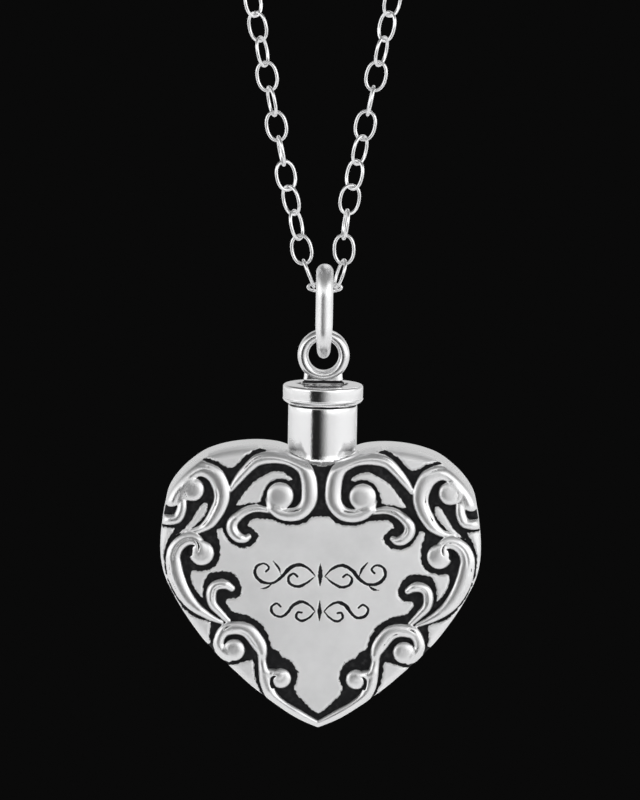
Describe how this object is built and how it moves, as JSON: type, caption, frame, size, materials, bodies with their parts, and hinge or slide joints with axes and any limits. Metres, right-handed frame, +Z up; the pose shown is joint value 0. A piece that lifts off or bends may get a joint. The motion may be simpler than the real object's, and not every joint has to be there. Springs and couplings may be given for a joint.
{
  "type": "heart shaped keepsake urn pendant necklace",
  "caption": "Hollow heart locket that unscrews from its cap, hung by an oval bail on a fine cable chain loop with a ring clasp.",
  "frame": {"origin": "inner side of the top of the chain's loop, at the clasp, where it rests on the nape", "axes": "+Z up along the hanging pendant, -Y to the heart's front, +X to the viewer's right"},
  "size_m": [0.07, 0.0066, 0.233],
  "materials": {
    "heart_silver": "polished sterling silver, its recesses blackened",
    "cap_silver": "polished sterling silver",
    "bail_silver": "polished sterling silver",
    "chain_silver": "polished sterling silver",
    "clasp_silver": "polished sterling silver"
  },
  "bodies": {
    "necklace": {"chain": "chain_silver", "clasp": "clasp_silver"},
    "bail": {"bail": "bail_silver"},
    "cap": {"cap": "cap_silver"},
    "urn": {"heart_urn": "heart_silver"}
  },
  "joints": [
    {"name": "bail_swing", "type": "hinge", "parent": "necklace", "child": "bail", "pos_m": [0, 0, -0.20442], "axis": [1, 0, 0], "range_deg": [-45, 45]},
    {"name": "pendant_swing", "type": "hinge", "parent": "bail", "child": "cap", "pos_m": [0, 0, -0.20833], "axis": [0, 1, 0], "range_deg": [-45, 45]},
    {"name": "urn_unscrew", "type": "slide", "parent": "cap", "child": "urn", "axis": [0, 0, -1], "range_m": [0, 0.004]}
  ]
}
